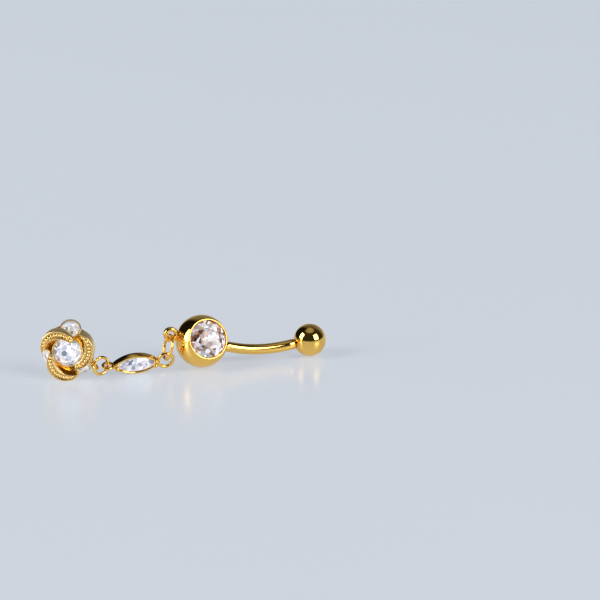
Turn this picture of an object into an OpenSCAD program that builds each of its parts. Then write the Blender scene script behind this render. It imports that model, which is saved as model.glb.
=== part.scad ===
// Navel ring with a gem ball, a marquise link and a swirl flower drop, laid down on a flat surface.
// The piece lies along X, the flower at -X and the screwed ball at +X. The stones face -Y.
// The origin is on the middle of the curved bar, where it is worn.

/* [Bar and balls] */
// Diameter of the ball that holds the big crystal
gem_ball_d = 8; // [7:0.5:9]
// Diameter of the screwed ball
top_ball_d = 5; // [4:0.5:6]
// Thickness of the curved bar
bar_d = 1.6; // [1.4:0.1:1.8]
// Length of the bar along its curve, between the balls
bar_length = 11; // [9:0.5:14]
// Straight end of the bar before the screwed ball
bar_straight = 0.9; // [0.6:0.1:1.5]
// Turn of the bar from end to end, in degrees
bar_bend = 26; // [20:1:40]
// Diameter of the thinner stud inside the screwed ball
stud_d = 1.2; // [1:0.05:1.25]
// Length of the stud
stud_length = 3; // [2:0.1:3.2]

/* [Ball crystal] */
// Diameter of the big crystal
crystal_d = 5.7; // [5:0.1:6.2]
// Width of the ball's thin rim round the crystal
crystal_rim = 0.12; // [0.1:0.01:0.2]
// Turn of the crystal up from facing sideways, in degrees
crystal_roll = 23.5; // [0:0.5:60]

/* [Ball eye] */
// Outer diameter of the eye soldered on the ball
ball_eye_d = 2.3; // [2.1:0.1:2.6]
// Diameter of its hole
ball_eye_hole_d = 1; // [0.9:0.05:1.1]
// Width of the eye along its hole
ball_eye_w = 1; // [0.8:0.1:1.2]

/* [Upper jump ring] */
// Wire of the upper jump ring
upper_wire_d = 0.48; // [0.4:0.02:0.56]
// Slant of the upper jump ring from upright, in degrees
upper_slant = 15; // [5:1:25]

/* [Marquise link] */
// Length of the marquise frame from point to point
link_l = 7.2; // [6:0.1:8]
// Width of the marquise frame
link_w = 3.15; // [2.8:0.05:3.6]
// Wall of the marquise frame
link_wall = 0.28; // [0.24:0.02:0.36]
// Depth of the marquise frame from front to back
link_depth = 1.1; // [0.9:0.1:1.4]
// Lean of the link out over its lower edge, in degrees
link_lean = 18; // [0:1:25]
// Wire of the claws and eyes of the link
claw_d = 0.5; // [0.4:0.02:0.6]
// Outer diameter of the eye next to the ball
right_eye_d = 2.8; // [2.5:0.1:3]
// Outer diameter of the eye next to the flower
left_eye_d = 2; // [1.8:0.1:2.3]

/* [Lower jump ring] */
// Wire of the lower jump ring
lower_wire_d = 0.45; // [0.36:0.03:0.5]
// Diameter of the lower jump ring, to the middle of its wire
lower_ring_d = 2.6; // [2.4:0.1:3]

/* [Flower] */
// Diameter of the flower
flower_d = 8.4; // [8:0.1:9]
// Distance of a petal's own middle from the flower's middle
petal_off = 1.5; // [1.3:0.1:1.7]
// Widest part of a petal's band
band_w = 1.4; // [1.1:0.1:1.6]
// Sweep of a petal round its own middle, in degrees
petal_sweep = 170; // [150:2:176]
// Depth of a petal's wall at its outer end
petal_depth = 2.3; // [1.9:0.1:2.7]
// Rise of a petal from its outer end to its inner end
petal_rise = 0.6; // [0.3:0.1:0.8]
// Depth of the channel between a petal's rims
channel_depth = 0.22; // [0.14:0.02:0.3]
// Beads in a petal's channel
beads = 12; // [6:1:14]
// Turn of the flower away from facing square on, in degrees
flower_turn = 22; // [10:2:34]
// Diameter of the flower's middle stone
centre_stone_d = 4.2; // [3.6:0.1:4.3]
// Diameter of the flower's side stones
side_stone_d = 2.7; // [2.4:0.1:2.8]
// Distance of the side stones from the flower's middle
side_stone_out = 3.3; // [3.2:0.05:3.45]
// Outward tilt of the side stones, in degrees
side_stone_tilt = 45; // [40:1:50]
// Wall of the stone cups and of the basket
cup_wall = 0.25; // [0.2:0.01:0.3]

/* [Hidden] */
$fn = 64;

// Clearance round each stone in its seat
stone_gap = 0.05;
// Clearance round the stud in its hole, on the radius
stud_gap = 0.04;
// Gap between the screwed ball and the bar's shoulder
ball_gap = 0.05;
// Depth that soldered wires sink into what they are soldered to
solder = 0.12;
GOLD = "#e3a93c";
CLEAR = "#e8eef4";

// Proportions of a round cut, as shares of the stone's radius
table_share = 0.56;
crown_share = 0.31;
girdle_share = 0.06;
pavilion_share = 0.86;
star_share = 0.78;
lower_share = 0.28;
// Turn from one girdle point to the next
facet_step = 22.5;
// Heights of the marquise stone as shares of half its width, then levels of its stars and lower facets
// as shares of those heights
lens_crown = 0.4;
lens_pavilion = 0.8;
lens_star = 0.55;
lens_lower = 0.75;

gem_r = gem_ball_d / 2;
top_r = top_ball_d / 2;
arc_r = (bar_length - bar_straight) * 180 / (PI * bar_bend);
// Middle of the screwed ball before the piece is laid down, with the bar leaving along X
top_run = gem_r + arc_r * sin(bar_bend) + (bar_straight + top_r) * cos(bar_bend);
top_lift = arc_r * (1 - cos(bar_bend)) + (bar_straight + top_r) * sin(bar_bend);
// Turn that lays both balls on the surface
dip = atan2(top_lift, top_run) + asin((gem_r - top_r) / norm([top_run, top_lift]));

// Where a point of the upright piece lies once both balls rest on the surface
function laid(p) = [p[0] * cos(dip) + p[2] * sin(dip), p[1],
    gem_r - p[0] * sin(dip) + p[2] * cos(dip)];

bar_middle = laid([gem_r + arc_r * sin(bar_bend / 2), 0, arc_r * (1 - cos(bar_bend / 2))]);

crystal_r = crystal_d / 2;
crystal_seat_r = crystal_r + stone_gap;
// Distance of the crystal's rim from the middle of its ball
rim_out = sqrt(pow(gem_r, 2) - pow(crystal_seat_r + crystal_rim, 2));

ball_eye_wire = (ball_eye_d - ball_eye_hole_d) / 2;
ball_eye_out = gem_r + ball_eye_d / 2 - solder;
ball_eye_at = laid([-ball_eye_out, 0, 0]);

// The link: its middle, leaning so that its lower front edge meets the surface
link_z = link_w / 2 * cos(link_lean) + link_depth / 2 * sin(link_lean);
link_y = -0.4;
// Where the upper jump ring rests, as shares of the free width of the ball's eye, of the radius of the
// link's eye and of the link's place in depth
top_rest = 0.25;
foot_rest = 0.1;
side_rest = 0.4;
// Radius of the two arcs of the frame's outline
link_arc = (pow(link_l / 2, 2) + pow(link_w / 2, 2)) / link_w;
right_eye_r = (right_eye_d - claw_d) / 2;
left_eye_r = (left_eye_d - claw_d) / 2;
right_eye_out = link_l / 2 + right_eye_r - solder;
left_eye_out = link_l / 2 + left_eye_r - solder;

// The upper jump ring hangs in the ball's eye and passes through the link's right eye
ring_top_z = ball_eye_at[2] - (ball_eye_hole_d - upper_wire_d) * top_rest;
ring_top = [ball_eye_at[0], link_y * side_rest, ring_top_z];
ring_foot_z = link_z + right_eye_r * foot_rest;
ring_drop = ring_top[2] - ring_foot_z;
ring_foot = ring_top - [ring_drop * tan(upper_slant), 0, ring_drop];
upper_ring_d = norm(ring_top - ring_foot);

link_x = ring_foot[0] - right_eye_out;
left_eye_at = [link_x - left_eye_out, link_y, link_z];

// The flower's own frame: first across, second up and third out of its face
flower_r = flower_d / 2;
centre_r = centre_stone_d / 2;
side_r = side_stone_d / 2;
petal_r = flower_r - petal_off;
// Directions of the petals' own middles from the flower's middle, and turn back from there to a
// petal's outer end
PETAL_TURNS = [140, 20, 260];
petal_lead = 56;
petal_steps = 4 * beads;
// Level of the petals' underside at the outer end, and how far it climbs
petal_under = -0.7;
petal_climb = 1.6;
// A petal's band swells and narrows as this stretch of half a sine wave
band_from = 0.04;
band_stretch = 0.84;
band_power = 0.8;
// Height of a bead, as a share of the channel's depth
bead_share = 0.9;

function petal_angle(turn, t) = turn + petal_lead - petal_sweep * t;
function petal_band(t) = band_w * pow(sin(180 * (band_from + band_stretch * t)), band_power);
function petal_top(t) = petal_under + petal_depth + petal_rise * t;
function petal_floor(t) = petal_under + petal_climb * t;
function bead_height(t) = channel_depth * bead_share * pow(sin(180 * beads * t), 2);

// Across a petal's band: share of its width, share of the channel's depth that is cut away
// there, and share of the bead's height that stands there
BAND = [
    [0.00, 0.5, 0], [0.05, 0, 0], [0.19, 0, 0], [0.25, 1, 0], [0.36, 1, 0.6], [0.50, 1, 1],
    [0.64, 1, 0.6], [0.75, 1, 0], [0.81, 0, 0], [0.95, 0, 0], [1.00, 0.5, 0],
];

// A point of a petal, this far in from its outer edge
function petal_point(turn, t, inward, level) = let (
    a = petal_angle(turn, t),
    r = petal_r - inward
) [petal_off * cos(turn) + r * cos(a), petal_off * sin(turn) + r * sin(a), level];

function petal_ring(turn, t) = let (
    band = petal_band(t),
    top = petal_top(t)
) [
    petal_point(turn, t, 0, petal_floor(t)),
    for (row = BAND)
        petal_point(turn, t, band * row[0], top - channel_depth * row[1] + bead_height(t) * row[2]),
    petal_point(turn, t, band, petal_floor(t))
];

flower_low = min([for (turn = PETAL_TURNS) for (k = [0 : petal_steps])
    petal_point(turn, k / petal_steps, 0, 0)[1]]);
flower_z = -flower_low;
// How far the flower's middle lies behind the line of the two balls, so that the piece rests level
flower_back = 0.9;

// Eye of the flower: its wire, its radius to the middle of the wire, and its direction from the middle
// of the second petal, whose outer edge it is soldered on
flower_eye_wire = 0.4;
flower_eye_r = 0.74;
flower_eye_turn = -44;
flower_eye_t = (PETAL_TURNS[1] + petal_lead - flower_eye_turn) / petal_sweep;
flower_eye_off = flower_eye_r + flower_eye_wire / 2 - solder;
flower_eye_level = petal_floor(flower_eye_t) + flower_eye_wire;
flower_eye_in = petal_point(PETAL_TURNS[1], flower_eye_t, -flower_eye_off, flower_eye_level);

function flower_across() = [cos(flower_turn), -sin(flower_turn), 0];
function flower_face() = [-sin(flower_turn), -cos(flower_turn), 0];
// From the flower's middle to its eye's hole, once turned and stood up
flower_to_eye = flower_across() * flower_eye_in[0] + [0, 0, flower_eye_in[1]]
    + flower_face() * flower_eye_in[2];
flower_eye_y = flower_back + flower_to_eye[1];
flower_eye_z = flower_z + flower_to_eye[2];
// The lower jump ring spans the two eyes
eye_gap_x = sqrt(pow(lower_ring_d, 2) - pow(flower_eye_y - link_y, 2) - pow(flower_eye_z - link_z, 2));
flower_eye_at = [left_eye_at[0] - eye_gap_x, flower_eye_y, flower_eye_z];
flower_at = [flower_eye_at[0] - flower_to_eye[0], flower_back, flower_z];

// Levels of the stones' girdles, and the side stones' directions from the flower's middle
centre_level = 0.5;
side_level = -0.55;
SIDE_TURNS = [204, 314, 84];

// The basket behind the stones, as shares of the flower's radius: its rim out and in, its foot out and in
basket_rim = 0.93;
basket_rim_in = 0.83;
basket_foot = 0.55;
basket_foot_in = 0.5;

// Depth of the marquise stone's girdle under the frame's face, and width of the ledge that it rests on
stone_sink = 0.25;
ledge = 0.16;
stone_level = link_depth / 2 - stone_sink;
// Claws, as shares of their wire: distance in from the point, distance off the middle, width of the tip
claw_in = 1.3;
claw_off = 0.62;
claw_tip = 1.15;

// Points of one round of a cut stone: angles, radius, level
function round_of(count, turn, r, z) =
    [for (k = [0 : count - 1]) let (a = 360 * k / count + turn) [r * cos(a), r * sin(a), z]];

// A round cut with eight sides: table, stars, kites, girdle, lower halves and mains
module round_stone(r) {
    crown = r * crown_share;
    pavilion = r * pavilion_share;
    table = r * table_share;
    star = r * star_share;
    lower = r * lower_share;
    star_z = crown * (r - star * cos(facet_step)) / (r - table);
    lower_z = -pavilion + pavilion * lower * cos(facet_step) / r;
    belt = r * girdle_share;
    points = concat(
        round_of(8, 0, table, crown + belt / 2),
        round_of(8, facet_step, star, star_z + belt / 2),
        round_of(16, 0, r, belt / 2),
        round_of(16, 0, r, -belt / 2),
        round_of(8, facet_step, lower, lower_z - belt / 2),
        [[0, 0, -pavilion - belt / 2]]
    );
    cut_solid(points);
}

// Faces over the rounds that a cut stone's points make
module cut_solid(points) {
    culet = len(points) - 1;
    faces = concat(
        [[for (k = [7 : -1 : 0]) k]],
        [for (k = [0 : 7]) let (n = (k + 1) % 8) [k, n, 8 + k]],
        [for (k = [0 : 7]) let (b = (k + 7) % 8) each [[k, 8 + k, 16 + 2 * k], [k, 16 + 2 * k, 8 + b]]],
        [for (k = [0 : 7]) let (n = (2 * k + 2) % 16)
            each [[8 + k, 17 + 2 * k, 16 + 2 * k], [8 + k, 16 + n, 17 + 2 * k]]],
        [for (k = [0 : 15]) let (n = (k + 1) % 16) [16 + k, 16 + n, 32 + n, 32 + k]],
        [for (k = [0 : 7]) let (n = (2 * k + 2) % 16)
            each [[48 + k, 32 + 2 * k, 33 + 2 * k], [48 + k, 33 + 2 * k, 32 + n]]],
        [for (k = [0 : 7]) let (b = (k + 7) % 8)
            each [[culet, 32 + 2 * k, 48 + k], [culet, 48 + b, 32 + 2 * k]]]
    );
    polyhedron(points, faces, convexity = 4);
}

// Room for a round stone and its clearance, open above the girdle by the given height
module stone_seat(r, above) {
    seat_r = r + stone_gap;
    belt = r * girdle_share / 2 + stone_gap;
    depth = seat_r * pavilion_share + stone_gap;
    translate([0, 0, -belt]) cylinder(r = seat_r, h = belt + above);
    translate([0, 0, -belt - depth]) cylinder(r1 = stone_gap, r2 = seat_r, h = depth);
}

// A wire ring round Z
module wire_ring(r, wire) {
    rotate_extrude() translate([r, 0]) circle(d = wire);
}

// Outline of the marquise frame, two arcs that meet in points, drawn in by the given inset
module marquise_outline(inset) {
    intersection() {
        translate([0, link_arc - link_w / 2]) circle(r = link_arc - inset, $fn = 240);
        translate([0, link_w / 2 - link_arc]) circle(r = link_arc - inset, $fn = 240);
    }
}

// Lays the upright piece down so that both balls rest, and sets the origin
module lay_down() {
    translate(-bar_middle) translate([0, 0, gem_r]) rotate([0, dip, 0]) children();
}

// Turns what faces +Z to face the crystal's way, in the upright piece
module to_crystal() {
    rotate([90 - crystal_roll, 0, 0]) children();
}

module place_link() {
    translate(-bar_middle) translate([link_x, link_y, link_z]) rotate([90 + link_lean, 0, 0]) children();
}

module place_flower() {
    translate(-bar_middle) translate(flower_at) rotate([0, 0, -flower_turn]) rotate([90, 0, 0]) children();
}

module place_side_stone(number) {
    rotate([0, 0, SIDE_TURNS[number - 1]])
        translate([side_stone_out, 0, side_level])
            rotate([0, side_stone_tilt, 0]) children();
}

module ball_eye() {
    flat = ball_eye_w - ball_eye_wire;
    rotate([90, 0, 0]) rotate_extrude() translate([(ball_eye_hole_d + ball_eye_wire) / 2, 0]) {
        translate([0, flat / 2]) circle(d = ball_eye_wire);
        translate([0, -flat / 2]) circle(d = ball_eye_wire);
        translate([-ball_eye_wire / 2, -flat / 2]) square([ball_eye_wire, flat]);
    }
}

module barbell() {
    color(GOLD) lay_down() {
        difference() {
            sphere(r = gem_r, $fn = 96);
            to_crystal() {
                translate([0, 0, rim_out]) cylinder(r = gem_r, h = gem_r);
                translate([0, 0, rim_out - crystal_r * girdle_share]) stone_seat(crystal_r, gem_r);
            }
        }
        translate([-ball_eye_out, 0, 0]) ball_eye();
        translate([gem_r - solder, 0, 0]) rotate([0, 90, 0]) cylinder(d = bar_d, h = solder);
        translate([gem_r, 0, arc_r]) {
            rotate([90, 0, 0]) rotate([0, 0, -90]) rotate_extrude(angle = bar_bend)
                translate([arc_r, 0]) circle(d = bar_d);
            rotate([0, -bar_bend, 0]) translate([0, 0, -arc_r]) rotate([0, 90, 0]) {
                cylinder(d = bar_d, h = bar_straight);
                cylinder(d = stud_d, h = bar_straight + stud_length);
            }
        }
    }
}

module top_ball() {
    hole_r = stud_d / 2 + stud_gap;
    color(GOLD) lay_down() translate([top_run, 0, top_lift]) rotate([0, 90 - bar_bend, 0])
        difference() {
            sphere(r = top_r, $fn = 96);
            translate([0, 0, -top_r]) cylinder(r = hole_r, h = stud_length + ball_gap);
            translate([0, 0, -top_r]) cylinder(d = bar_d + 2 * stud_gap, h = socket_depth());
        }
}

// Depth in the screwed ball at which its face is as wide as the bar, and the gap there
function socket_depth() = top_r - sqrt(pow(top_r, 2) - pow(bar_d / 2 + stud_gap, 2)) + ball_gap;

module ball_crystal() {
    color(CLEAR) lay_down() to_crystal()
        translate([0, 0, rim_out - crystal_r * girdle_share]) round_stone(crystal_r);
}

module upper_jump_ring() {
    color(GOLD) translate(-bar_middle) translate((ring_top + ring_foot) / 2)
        rotate([0, 90 + upper_slant, 0]) wire_ring(upper_ring_d / 2, upper_wire_d);
}

module marquise_setting() {
    color(GOLD) place_link() {
        difference() {
            union() {
                translate([0, 0, -link_depth / 2]) linear_extrude(link_depth) marquise_outline(0);
                link_claws();
            }
            translate([0, 0, -link_depth]) linear_extrude(2 * link_depth)
                marquise_outline(link_wall + ledge);
            translate([0, 0, stone_level - ledge]) linear_extrude(2 * link_depth)
                marquise_outline(link_wall);
        }
        translate([right_eye_out, 0, 0]) wire_ring(right_eye_r, claw_d);
        translate([-left_eye_out, 0, 0]) rotate([90, 0, 0]) wire_ring(left_eye_r, claw_d);
    }
}

module link_claws() {
    for (side = [-1, 1]) for (edge = [-1, 1])
        translate([side * (link_l / 2 - claw_d * claw_in), edge * claw_d * claw_off, 0]) {
            translate([0, 0, -link_depth / 2]) cylinder(d = claw_d, h = link_depth);
            translate([0, 0, link_depth / 2]) sphere(d = claw_d * claw_tip);
        }
}

module marquise_stone() {
    inset = link_wall + stone_gap;
    arc = link_arc - inset;
    half_w = link_w / 2 - inset;
    half_l = sqrt(pow(arc, 2) - pow(link_arc - link_w / 2, 2));
    belt = half_w * girdle_share;
    crown = half_w * lens_crown;
    pavilion = half_w * lens_pavilion;
    function lens(count, turn, share, z) = [for (k = [0 : count - 1]) let (
        a = 360 * k / count + turn,
        x = half_l * cos(a),
        y = sign(sin(a)) * (sqrt(pow(arc, 2) - pow(x, 2)) - arc + half_w)
    ) [x * share, y * share, z]];
    color(CLEAR) place_link() translate([0, 0, stone_level + belt / 2]) cut_solid(concat(
        lens(8, 0, table_share, crown + belt / 2),
        lens(8, facet_step, star_share, crown * lens_star + belt / 2),
        lens(16, 0, 1, belt / 2),
        lens(16, 0, 1, -belt / 2),
        lens(8, facet_step, lower_share, -pavilion * lens_lower - belt / 2),
        [[0, 0, -pavilion - belt / 2]]
    ));
}

module lower_jump_ring() {
    span = flower_eye_at - left_eye_at;
    turn = atan2(span[1], span[0]);
    climb = asin(span[2] / norm(span));
    color(GOLD) translate(-bar_middle) translate((flower_eye_at + left_eye_at) / 2)
        rotate([0, -climb, turn]) rotate([90, 0, 0]) wire_ring(lower_ring_d / 2, lower_wire_d);
}

module petal(turn) {
    sides = len(BAND) + 2;
    rings = [for (k = [0 : petal_steps]) petal_ring(turn, k / petal_steps)];
    last = sides * petal_steps;
    faces = concat(
        [[for (j = [0 : sides - 1]) j]],
        [for (k = [0 : petal_steps - 1]) for (j = [0 : sides - 1]) let (
            n = (j + 1) % sides,
            a = k * sides
        ) each [[a + j, a + sides + j, a + n], [a + n, a + sides + j, a + sides + n]]],
        [[for (j = [sides - 1 : -1 : 0]) last + j]]
    );
    polyhedron([for (ring = rings) each ring], faces, convexity = 8);
}

// A cup round a stone's pavilion
module stone_cup(r) {
    height = r * pavilion_share + cup_wall;
    translate([0, 0, -height]) cylinder(r1 = r / 2, r2 = r + cup_wall, h = height);
    cylinder(r = r + cup_wall, h = r * girdle_share);
}

module basket() {
    foot = centre_level - centre_r * pavilion_share;
    rotate_extrude() polygon([
        [centre_r / 2, foot],
        [flower_r * basket_foot, foot],
        [flower_r * basket_rim, petal_under + cup_wall],
        [flower_r * basket_rim, petal_under + 2 * cup_wall],
        [flower_r * basket_rim_in, petal_under + 2 * cup_wall],
        [flower_r * basket_foot_in, foot + cup_wall],
        [centre_r / 2, foot + cup_wall],
    ]);
}

module flower_setting() {
    color(GOLD) place_flower() {
        difference() {
            union() {
                difference() {
                    basket();
                    for (number = [1 : 3]) place_side_stone(number)
                        cylinder(r = side_r + stone_gap, h = flower_r);
                }
                translate([0, 0, centre_level]) stone_cup(centre_r);
                for (number = [1 : 3]) place_side_stone(number) stone_cup(side_r);
                for (turn = PETAL_TURNS) petal(turn);
            }
            translate([0, 0, centre_level]) stone_seat(centre_r, centre_r * crown_share + stone_gap);
            for (number = [1 : 3]) place_side_stone(number)
                stone_seat(side_r, side_r * crown_share + stone_gap);
        }
        translate(flower_eye_in) rotate([0, 0, flower_eye_turn]) rotate([90, 0, 0])
            wire_ring(flower_eye_r, flower_eye_wire);
    }
}

module flower_centre_stone() {
    color(CLEAR) place_flower() translate([0, 0, centre_level]) round_stone(centre_r);
}

module flower_side_stone(number) {
    color(CLEAR) place_flower() place_side_stone(number) round_stone(side_r);
}

module flower_side_stone_1() {
    flower_side_stone(1);
}

module flower_side_stone_2() {
    flower_side_stone(2);
}

module flower_side_stone_3() {
    flower_side_stone(3);
}

barbell();
top_ball();
ball_crystal();
upper_jump_ring();
marquise_setting();
marquise_stone();
lower_jump_ring();
flower_setting();
flower_centre_stone();
flower_side_stone_1();
flower_side_stone_2();
flower_side_stone_3();
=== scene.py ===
"""Dresses the navel ring: gold bar and balls, jump rings, link, swirl flower and cut stones."""

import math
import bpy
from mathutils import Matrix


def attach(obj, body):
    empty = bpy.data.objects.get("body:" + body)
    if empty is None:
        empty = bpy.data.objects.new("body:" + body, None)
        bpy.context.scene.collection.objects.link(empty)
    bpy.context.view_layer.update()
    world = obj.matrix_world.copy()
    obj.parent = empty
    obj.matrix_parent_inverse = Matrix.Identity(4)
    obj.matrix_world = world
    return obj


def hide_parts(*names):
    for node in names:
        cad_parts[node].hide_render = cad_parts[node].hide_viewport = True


bl_info = {
    "name": "Navel Ring",
    "version": (1, 0, 0),
    "blender": (4, 5, 0),
    "location": "View3D > Sidebar > Navel Ring",
    "description": "Makes a navel ring with a flower drop, and the studio it lies in",
    "category": "Object",
}

from collections import namedtuple

import bmesh
import bpy
from bpy.props import FloatProperty, FloatVectorProperty, IntProperty, PointerProperty
from bpy.types import Operator, Panel, PropertyGroup
from mathutils import Matrix, Vector

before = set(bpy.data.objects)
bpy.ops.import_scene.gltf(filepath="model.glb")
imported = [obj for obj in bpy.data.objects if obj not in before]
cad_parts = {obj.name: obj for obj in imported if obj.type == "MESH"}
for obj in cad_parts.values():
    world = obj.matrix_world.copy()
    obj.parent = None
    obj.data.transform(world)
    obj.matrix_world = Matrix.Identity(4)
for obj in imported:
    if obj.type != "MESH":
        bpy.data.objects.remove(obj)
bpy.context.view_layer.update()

MM = 0.001
RING_BODY = "ring"
BALL_BODY = "screwed_ball"


def length(label, words, millimetres, low=0.0, high=50.0):
    """A size that a user may change, told in millimetres and kept in metres."""
    return FloatProperty(
        name=label, description=words, default=millimetres * MM, min=low * MM, max=high * MM,
        precision=5, unit="LENGTH",
    )


def angle(label, words, degrees):
    """An angle that a user may change, told in degrees and kept in radians."""
    turned = math.radians(degrees)
    return FloatProperty(name=label, description=words, default=turned, unit="ROTATION")


def share(label, words, default):
    """A share from 0 to 1."""
    return FloatProperty(
        name=label, description=words, default=default, min=0.0, max=1.0, subtype="FACTOR"
    )


def colour(label, words, default):
    """A colour in the light's own linear values."""
    return FloatVectorProperty(
        name=label, description=words, default=default, min=0.0, max=1.0, size=3, subtype="COLOR"
    )


def pixels(label, words, default):
    """A place in the photograph."""
    return FloatProperty(name=label, description=words, default=default, subtype="PIXEL")


class BarSizes(PropertyGroup):
    """Sizes of the bar, its balls, the eye and the upper jump ring."""

    gem_ball_d: length("Crystal ball", "Diameter of the ball that holds the big crystal", 8)
    top_ball_d: length("Screwed ball", "Diameter of the ball that screws onto the bar", 5)
    bar_d: length("Bar", "Thickness of the curved bar", 1.6)
    bar_length: length("Bar length", "Length of the bar along its curve, between the balls", 11)
    bar_straight: length("Straight end", "Straight end of the bar before the screwed ball", 0.9)
    bar_bend: angle("Bend", "Turn of the bar from end to end", 26)
    stud_d: length("Stud", "Diameter of the threaded stud", 1.2)
    stud_length: length("Stud length", "Length of the threaded stud", 3)
    thread_pitch: length("Thread pitch", "Distance from one turn of the thread to the next", 0.25)
    crystal_d: length("Crystal", "Diameter of the big crystal", 5.7)
    crystal_rim: length("Crystal rim", "Width of the ball's thin rim round the crystal", 0.12)
    crystal_roll: angle("Crystal roll", "Turn of the crystal up from facing sideways", 23.5)
    eye_d: length("Ball eye", "Outer diameter of the eye soldered on the ball", 2.3)
    eye_hole_d: length("Eye hole", "Diameter of the hole in the ball's eye", 1)
    eye_w: length("Eye width", "Width of the ball's eye along its hole", 1)
    upper_wire_d: length("Upper wire", "Wire of the upper jump ring", 0.48)
    upper_slant: angle("Upper slant", "Slant of the upper jump ring from upright", 15)


class DropSizes(PropertyGroup):
    """Sizes of the marquise link, the lower jump ring and the flower."""

    link_l: length("Link length", "Length of the marquise frame from point to point", 7.2)
    link_w: length("Link width", "Width of the marquise frame", 3.15)
    link_wall: length("Link wall", "Wall of the marquise frame", 0.28)
    link_depth: length("Link depth", "Depth of the marquise frame from front to back", 1.1)
    link_lean: angle("Link lean", "Lean of the link out over its lower edge", 18)
    link_y: length("Link place", "Place of the link across the piece", -0.4, low=-5)
    claw_d: length("Claw wire", "Wire of the claws and eyes of the link", 0.5)
    right_eye_d: length("Right eye", "Outer diameter of the eye next to the ball", 2.8)
    left_eye_d: length("Left eye", "Outer diameter of the eye next to the flower", 2)
    lower_wire_d: length("Lower wire", "Wire of the lower jump ring", 0.45)
    lower_ring_d: length("Lower ring", "Lower jump ring's diameter, to the middle of its wire", 2.6)
    flower_d: length("Flower", "Diameter of the flower", 8.4)
    petal_off: length("Petal middle", "How far a petal's own middle is from the flower's", 1.5)
    band_w: length("Petal band", "Widest part of a petal's band", 1.4)
    petal_sweep: angle("Petal sweep", "Sweep of a petal round its own middle", 170)
    petal_depth: length("Petal depth", "Depth of a petal's wall at its outer end", 2.3)
    petal_rise: length("Petal rise", "Rise of a petal from its outer to its inner end", 0.6)
    channel_depth: length("Channel", "Depth of the channel between a petal's rims", 0.22)
    beads: IntProperty(
        name="Beads", description="Beads in a petal's channel", default=12, min=4, max=24
    )
    flower_turn: angle("Flower turn", "Turn of the flower away from facing square on", 22)
    centre_stone_d: length("Middle stone", "Diameter of the flower's middle stone", 4.2)
    side_stone_d: length("Side stones", "Diameter of the flower's side stones", 2.7)
    side_stone_out: length("Side stone place", "How far the side stones are from the middle", 3.3)
    side_stone_tilt: angle("Side stone tilt", "Outward tilt of the side stones", 45)
    cup_wall: length("Cup wall", "Wall of the stone cups and of the basket", 0.25)


class Finish(PropertyGroup):
    """Colours and polish of the metal and the stones, with the flower's painted light and painted
    recess shade and the stones' painted glints.
    """

    gold: colour("Gold", "Colour of the gold plate", (1.0, 0.65, 0.165))
    deep_gold: colour("Deep gold", "Colour of the gold plate where it lies thicker", (1.0, 0.58, 0.12))
    # Painted light: the flower's gold is the same plate as the bar's, painted paler to stand in for
    # the light that its petals catch
    brightened_cast_gold: colour("Cast gold", "Colour of the plate on the flower", (1.0, 0.80, 0.38))
    brightened_cast_deep: colour("Deep cast gold", "Its colour where the plate lies thicker", (1.0, 0.67, 0.24))
    # Painted shade: the darker colour painted into the petals' channels, standing in for the shade
    # that falls in them
    recess: colour("Recess", "Colour of the plate in the petals' channels", (0.80, 0.52, 0.15))
    polish: share("Polish", "Roughness of the polished balls and bar", 0.045)
    cast_polish: share("Cast polish", "Roughness of the cast flower", 0.18)
    mirror: share("Mirror", "How strongly the facets of the stones mirror the lights", 0.22)
    # Painted glints: the glow of the stones' painted patches of light
    glint_glow: share("Fire", "How strongly the facets of the stones sparkle", 0.36)


class Studio(PropertyGroup):
    """The camera and the surface that the piece lies on."""

    azimuth: angle("Azimuth", "Turn of the camera round the piece", -18.1)
    elevation: angle("Elevation", "Height of the camera above the surface, as an angle", 16.5)
    distance: length("Distance", "Distance from the camera to the crystal ball", 330, high=2000)
    scale: pixels("Scale", "Pixels to a millimetre at the crystal ball", 6.63)
    ball_across: pixels("Across", "Crystal ball's middle, from the photograph's left", 201.7)
    ball_down: pixels("Down", "Crystal ball's middle, from the photograph's top", 341.0)
    surface: colour("Surface", "Colour of the glossy sheet under the piece", (0.30, 0.32, 0.345))
    under: colour("Under light", "Light that comes up through the sheet", (0.385, 0.42, 0.475))


# Width and height of the photograph, in pixels
PHOTO_SIDE = 600


def turn(radians, axis):
    return Matrix.Rotation(radians, 4, axis)


def shift(x, y, z):
    return Matrix.Translation((x, y, z))


def toward(azimuth, elevation):
    """Direction out from the piece; azimuth 0 is straight in front of the stones."""
    level = math.cos(elevation)
    return Vector((math.sin(azimuth) * level, -math.cos(azimuth) * level, math.sin(elevation)))


def round_of(radius, steps, level=0.0):
    """Points round a circle."""
    turns = [math.tau * k / steps for k in range(steps)]
    return [(radius * math.cos(a), radius * math.sin(a), level) for a in turns]


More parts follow.
